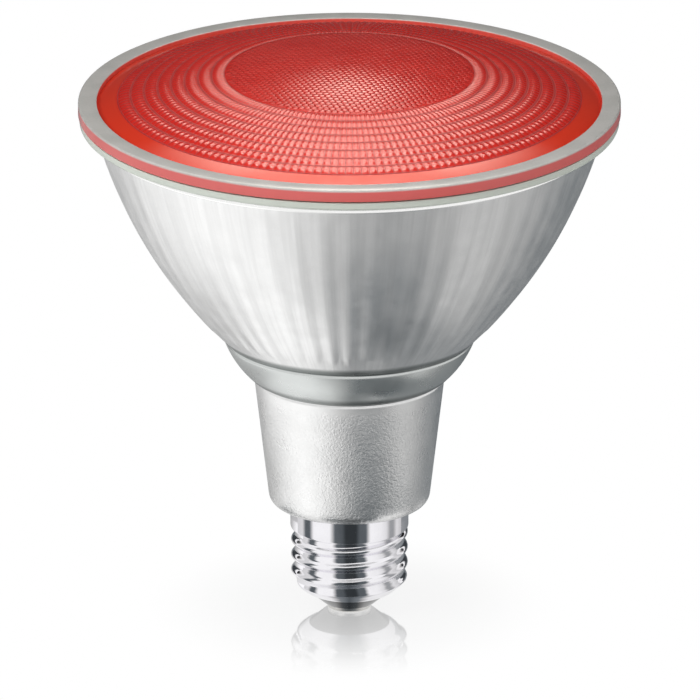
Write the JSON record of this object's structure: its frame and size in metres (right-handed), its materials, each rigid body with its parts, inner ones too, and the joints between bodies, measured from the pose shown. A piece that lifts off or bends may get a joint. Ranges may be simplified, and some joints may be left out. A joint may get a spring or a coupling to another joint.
{
  "type": "reflector lamp",
  "caption": "Reflector lamp with a red domed prismatic lens, a silvered glass bowl and neck, and a medium Edison screw cap.",
  "frame": {"origin": "on the lamp's axis, at the bottom of the centre contact", "axes": "+Z along the lamp's axis from the cap to the lens; -Y is the side that the picture shows"},
  "size_m": [0.121, 0.121, 0.1287],
  "materials": {
    "red_lens": "glossy, pressed cushion rings and fine lenslets",
    "silvered_glass": "silver coat, satin outside, orange-peel texture on the neck",
    "nickel": "bright nickel plate",
    "black_glass": "glossy black glass",
    "contact_metal": "tinned brass, satin",
    "silicone": "satin",
    "aluminium": "drawn sheet, satin",
    "pad": "matte",
    "white_board": "white solder mask",
    "light_package": "white body with a yellow window",
    "steel": "plain steel",
    "white_plastic": "satin moulding",
    "driver_laminate": "green solder mask",
    "film_box": "satin box",
    "varistor_coat": "dipped coat",
    "ferrite": "matte dark ceramic",
    "black_plastic": "matte moulding",
    "copper": "enamelled copper wire",
    "can_sleeve": "shrink sleeve",
    "resistor_coat": "dipped coat",
    "red_sleeve": "lead insulation",
    "black_sleeve": "lead insulation",
    "white_sleeve": "lead insulation",
    "cement": "matte cement"
  },
  "bodies": {
    "root": {"board_connector": "white_plastic", "board_screws": "steel", "bridge_rectifier": "black_plastic", "cap_cement": "cement", "cap_insulator": "black_glass", "cap_shell": "nickel", "centre_contact": "contact_metal", "choke_core": "ferrite", "choke_winding": "copper", "controller_chip": "black_plastic", "driver_board": "driver_laminate", "driver_housing": "white_plastic", "film_capacitor": "film_box", "front_lens": "red_lens", "fusible_resistor": "resistor_coat", "glass_body": "silvered_glass", "heat_spreader": "aluminium", "led_board": "white_board", "led_packages": "light_package", "lens_seal": "silicone", "live_lead": "black_sleeve", "negative_light_lead": "black_sleeve", "neutral_lead": "white_sleeve", "output_capacitor": "can_sleeve", "positive_light_lead": "red_sleeve", "smoothing_capacitor": "can_sleeve", "switch_transistor": "black_plastic", "thermal_pad": "pad", "transformer_bobbin": "black_plastic", "transformer_core": "ferrite", "transformer_winding": "copper", "varistor": "varistor_coat"}
  },
  "joints": []
}
